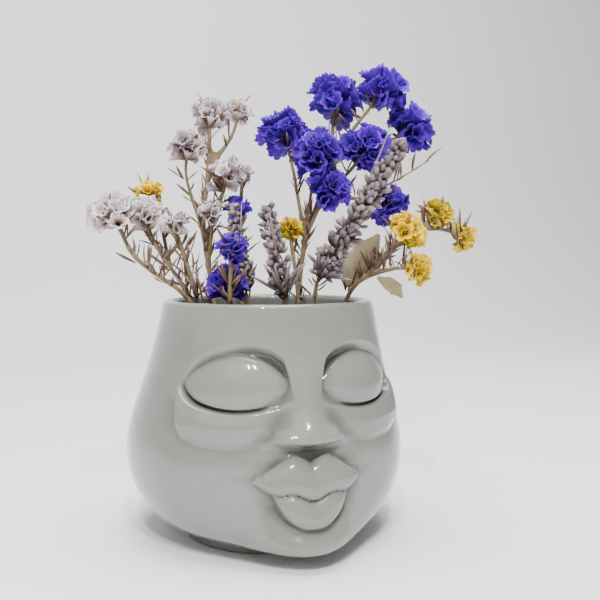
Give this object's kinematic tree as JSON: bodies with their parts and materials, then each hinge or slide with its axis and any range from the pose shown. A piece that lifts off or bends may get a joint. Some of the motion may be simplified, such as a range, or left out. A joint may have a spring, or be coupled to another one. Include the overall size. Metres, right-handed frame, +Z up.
{
  "type": "head planter",
  "caption": "Glazed ceramic planter shaped as a sleeping face, open at the top, holding a loose dried bouquet whose bunches lift out.",
  "frame": {"origin": "middle of the round foot's flat underside, which stands on the table", "axes": "+Z up through the open mouth, the face looks to -Y, +X is to the right of someone facing it"},
  "size_m": [0.1682, 0.1276, 0.2102],
  "materials": {
    "glaze": "gloss glaze, pale grey-green",
    "dry_stem": "dry, fibrous",
    "dry_leaf": "dry, wrinkled",
    "white_floret": "papery, translucent",
    "yellow_floret": "papery",
    "purple_floret": "papery",
    "lavender": "dry, fuzzy"
  },
  "bodies": {
    "planter": {"planter_head": "glaze"},
    "left_bunch": {"left_stems": "dry_stem", "left_white_florets": "white_floret", "left_yellow_florets": "yellow_floret"},
    "back_left_bunch": {"back_left_stems": "dry_stem", "back_left_white_florets": "white_floret", "back_left_purple_florets": "purple_floret"},
    "back_right_bunch": {"back_right_stems": "dry_stem", "back_right_purple_florets": "purple_floret", "back_right_yellow_florets": "yellow_floret"},
    "right_bunch": {"right_stems": "dry_stem", "right_yellow_florets": "yellow_floret", "broad_leaf": "dry_leaf", "wilted_leaf": "dry_leaf"},
    "front_right_bunch": {"front_right_stem": "dry_stem", "front_right_lavender": "lavender"},
    "front_bunch": {"front_stem": "dry_stem", "front_lavender": "lavender"},
    "front_left_bunch": {"front_left_stems": "dry_stem", "front_left_purple_florets": "purple_floret", "front_left_lavender": "lavender"}
  },
  "joints": [
    {"name": "left_lift", "type": "slide", "parent": "planter", "child": "left_bunch", "axis": [0, 0, 1], "range_m": [0, 0.12]},
    {"name": "back_left_lift", "type": "slide", "parent": "planter", "child": "back_left_bunch", "axis": [0, 0, 1], "range_m": [0, 0.12]},
    {"name": "back_right_lift", "type": "slide", "parent": "planter", "child": "back_right_bunch", "axis": [0, 0, 1], "range_m": [0, 0.12]},
    {"name": "right_lift", "type": "slide", "parent": "planter", "child": "right_bunch", "axis": [0, 0, 1], "range_m": [0, 0.12]},
    {"name": "front_right_lift", "type": "slide", "parent": "planter", "child": "front_right_bunch", "axis": [0, 0, 1], "range_m": [0, 0.12]},
    {"name": "front_lift", "type": "slide", "parent": "planter", "child": "front_bunch", "axis": [0, 0, 1], "range_m": [0, 0.12]},
    {"name": "front_left_lift", "type": "slide", "parent": "planter", "child": "front_left_bunch", "axis": [0, 0, 1], "range_m": [0, 0.12]}
  ]
}
